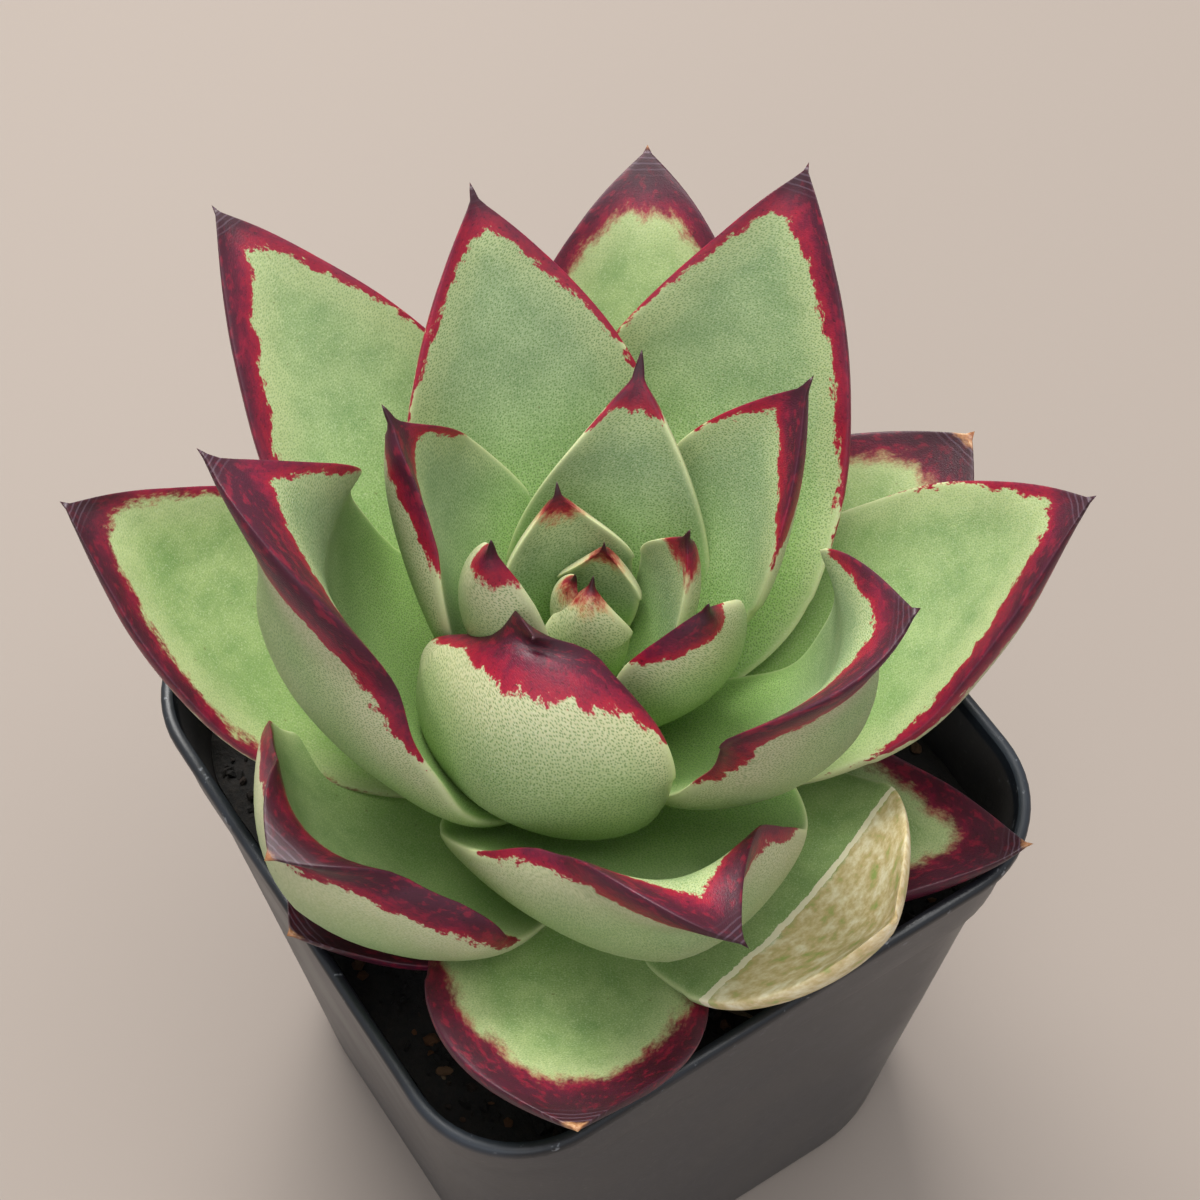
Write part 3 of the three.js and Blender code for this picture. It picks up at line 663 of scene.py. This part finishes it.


# Green: greyer on young leaves, fresher and lighter towards the foot, partly as painted light that lifts the
# shade deep in the rosette, pale beside the red, with a pale line along the margins that is mostly painted
# highlight, and fawn over the part of the underside that lies near the red
ragged = streaks(0.55, 4.0, 5.0)
fringe = streaks(3.0, 2.0, 1.8)
inside = sums(tree, "ADD", sums(tree, "ADD", value["blush"], ragged), fringe)
old = span(tree, value["age"], 0.4, 0.8)
mottle = leaf_noise(0.2, 4.0)
young_green = ramp(tree, mottle, [(0.3, "#758c62"), (0.7, "#8c9f74")])
old_green = ramp(tree, mottle, [(0.3, "#6f8b50"), (0.7, "#94a76c")])
upper_green = blend(tree, old, young_green, old_green)
under_green = ramp(tree, mottle, [(0.3, "#7c9a5c"), (0.7, "#90a66c")])
green = blend(tree, value["upper"], under_green, upper_green)
# Towards the foot the green turns fresher and lighter: partly the leaf's own colour, partly painted light in
# the shade deep in the rosette
foot_green_and_painted_light = span(tree, value["foot"], 0.65, 0.2)
green = tint(tree, green, foot_green_and_painted_light, 0.75, "#8db45a")
beside = span(tree, sums(tree, "ADD", value["blush"], ragged), -6.0, -0.4)
pale = blend(tree, value["upper"], "#c4be9c", "#adb683")
green = tint(tree, green, beside, 0.6, pale)
near_red = span(tree, value["blush"], -13.0, -2.0)
fawn = sums(tree, "MULTIPLY", near_red, sums(tree, "SUBTRACT", 1.0, value["upper"]))
green = tint(tree, green, fawn, 0.55, "#b5b08c")
# A pale line along each margin crest: mostly a painted highlight on the rounded margin, a little its own
# pale colour
green = tint(tree, green, span(tree, value["edge"], 0.9, 0.0), 0.45, "#d3d6a4")

# Pores inland of the margins, patches of pale bloom and olive specks
flat = carried(tree, "flat", "Vector")
pores = add_node(tree, "ShaderNodeTexVoronoi", {"Scale": 2.8, "Randomness": 0.75}, {"Vector": flat},
                 voronoi_dimensions="2D").outputs["Distance"]
inland = span(tree, value["edge"], 0.5, 1.6)
dots = sums(tree, "MULTIPLY", span(tree, pores, 0.42, 0.12), value["stipple"])
dots = sums(tree, "MULTIPLY", dots, inland)
green = tint(tree, green, dots, 0.75, "#4e7034")
bloom = span(tree, leaf_noise(5.0, 2.0), 0.5, 0.7)
green = tint(tree, green, bloom, 0.3, "#ccd2ac")
specks = span(tree, leaf_noise(1.4, 2.0), 0.71, 0.76)
green = tint(tree, green, specks, 0.55, "#5d5a2e")

# Red: crimson at the ragged border and in embers further in, wine within, and dusky on an old leaf. On the
# youngest leaves it comes through orange and has no clear border.
softly = sums(tree, "DIVIDE", inside, value["soft"])
red = span(tree, softly, -0.9, 0.9)
deep = sums(tree, "ADD", inside, sums(tree, "MULTIPLY", value["age"], 1.5))
wine = ramp(tree, span(tree, deep, 0.0, 5.0),
            [(0.0, "#9c162e"), (0.2, "#8a122c"), (0.55, "#6a102c"), (1.0, "#441024")])
young = span(tree, value["age"], 0.2, 0.12)
flushed = ramp(tree, span(tree, inside, -1.0, 3.0),
               [(0.0, "#c48a48"), (0.25, "#a83c28"), (0.55, "#8a1620"), (1.0, "#420c16")])
wine = blend(tree, young, wine, flushed)
aged = span(tree, value["age"], 0.5, 0.9)
dusk = sums(tree, "MULTIPLY", aged, span(tree, leaf_noise(0.35, 3.0), 0.35, 0.65))
wine = tint(tree, wine, dusk, 0.55, "#34101c")
wine = tint(tree, wine, span(tree, leaf_noise(2.2, 3.0), 0.6, 0.68), 0.6, "#2a0a14")
embers = span(tree, leaf_noise(0.9, 4.0, streaked), 0.5, 0.66)
wine = tint(tree, wine, embers, 0.5, "#8e1430")
skin = blend(tree, red, green, wine)

# The point is dark horn. On an older leaf the horn is longer, and faint rings cross it.
reach = sums(tree, "ADD", sums(tree, "MULTIPLY", value["age"], 1.6), 0.6)
horn = span(tree, sums(tree, "DIVIDE", value["tip"], reach), 4.5, 0.8)
skin = tint(tree, skin, horn, 0.8, "#2a0f18")
ripples = add_node(tree, "ShaderNodeTexWave", {"Scale": 0.42, "Distortion": 2.0, "Detail": 2.0},
                   {"Vector": plan}, bands_direction="Z").outputs["Fac"]
ringed = sums(tree, "MULTIPLY", span(tree, ripples, 0.72, 0.95), span(tree, value["tip"], 4.5, 2.5))
ringed = sums(tree, "MULTIPLY", ringed, span(tree, value["age"], 0.4, 0.5))
skin = tint(tree, skin, ringed, 0.15, "#9a8698")

# Dried points and the healed scar are corky: tan, with pale flakes. A pale seam runs along the scar's edge.
withered = ramp(tree, leaf_noise(1.3, 4.0), [(0.3, "#7a4a30"), (0.55, "#a3734c"), (0.75, "#c9ad88")])
dry = span(tree, sums(tree, "ADD", value["dry"], sums(tree, "MULTIPLY", ragged, 0.4)), -0.4, 0.4)
skin = blend(tree, dry, skin, withered)
healed = ramp(tree, leaf_noise(0.5, 5.0),
              [(0.3, "#94a258"), (0.45, "#c0a878"), (0.6, "#d9caa4"), (0.8, "#efe8d4")])
scarred = span(tree, sums(tree, "ADD", value["scar"], sums(tree, "MULTIPLY", ragged, 0.9)), -0.5, 1.0)
skin = tint(tree, skin, scarred, 0.9, healed)
seam = sums(tree, "COMPARE", sums(tree, "ADD", value["scar"], sums(tree, "MULTIPLY", ragged, 0.25)), 0.0)
skin = tint(tree, skin, seam, 0.85, "#e6dcc0")
tree.links.new(skin, shader.inputs["Base Color"])
tree.links.new(span(tree, red, 0.0, 1.0, 0.52, 0.42), shader.inputs["Roughness"])
shader.inputs["Specular IOR Level"].default_value = 0.35
grain = sums(tree, "MULTIPLY", leaf_noise(4.5, 3.0), 0.7)
grain = sums(tree, "ADD", grain, sums(tree, "MULTIPLY", dots, -0.3))
emboss(tree, shader, grain, 0.3, 0.00016)
shader.inputs["Subsurface Weight"].default_value = 0.1
shader.inputs["Subsurface Scale"].default_value = 0.0012
shader.inputs["Subsurface Radius"].default_value = (1.0, 0.7, 0.3)
shader.inputs["Coat Weight"].default_value = 0.04
shader.inputs["Coat Roughness"].default_value = 0.35

for n in SHAPES:
    finish_piece(f"leaf_blade_{n:02d}", grow_leaf(n), leaf_skin, [f"leaf_{n:02d}"], sharp=75)


# Studio: a wide board in a warm grey, soft light from a window behind the plant, from above and from the
# front, and the viewpoint of someone who looks down on the plant.

FLOOR_SIZE = 6.0
pale_board, tree, shader = new_material("pale studio board")
shader.inputs["Base Color"].default_value = paint("#8c8178")
shader.inputs["Roughness"].default_value = 0.7
board = bmesh.new()
bmesh.ops.create_grid(board, x_segments=1, y_segments=1, size=FLOOR_SIZE / 2)
board_mesh = bpy.data.meshes.new("studio_floor")
board.to_mesh(board_mesh)
board.free()
floor = bpy.data.objects.new("studio_floor", board_mesh)
floor.data.materials.append(pale_board)
bpy.context.scene.collection.objects.link(floor)

world = bpy.data.worlds.new("studio")
bpy.context.scene.world = world
world.use_nodes = True
world.node_tree.nodes["Background"].inputs["Color"].default_value = (0.92, 0.95, 1.0, 1.0)
world.node_tree.nodes["Background"].inputs["Strength"].default_value = 0.68
bpy.context.scene.view_settings.view_transform = "Standard"


def soft_light(name, place, aim, size, power, colour):
    """A square soft box, turned to face a point."""
    lamp = bpy.data.lights.new(name, "AREA")
    lamp.shape, lamp.size, lamp.energy, lamp.color = "SQUARE", size, power, colour
    box = bpy.data.objects.new(name, lamp)
    box.location = place
    box.rotation_euler = (Vector(aim) - Vector(place)).to_track_quat("-Z", "Y").to_euler()
    bpy.context.scene.collection.objects.link(box)


LEAVES_MIDDLE = (0, 0, 0.1)
soft_light("window", (-0.55, 0.15, 0.85), LEAVES_MIDDLE, 0.5, 12.0, (1.0, 0.98, 0.95))
soft_light("overhead", (0.05, 0.1, 1.1), LEAVES_MIDDLE, 0.7, 5.5, (1.0, 0.99, 0.97))
soft_light("fill", (0.7, -0.7, 0.7), LEAVES_MIDDLE, 0.8, 3.0, (0.95, 0.97, 1.0))

# The viewpoint stands 0.4 m from the pot's mouth and looks down at 59 degrees
VIEW_FROM = Vector((0.16003, -0.09461, 0.42755))
VIEW_AT = Vector((-0.016733, 0.012379, 0.086))
VIEW_ROLL = -2.056
view = bpy.data.cameras.new("viewpoint")
view.lens, view.sensor_width, view.clip_start = 91.54, 36.0, 0.01
camera = bpy.data.objects.new("viewpoint", view)
camera.location = VIEW_FROM
turn = (VIEW_AT - VIEW_FROM).to_track_quat("-Z", "Y") @ Quaternion((0, 0, 1), math.radians(VIEW_ROLL))
camera.rotation_euler = turn.to_euler()
bpy.context.scene.collection.objects.link(camera)
bpy.context.scene.camera = camera
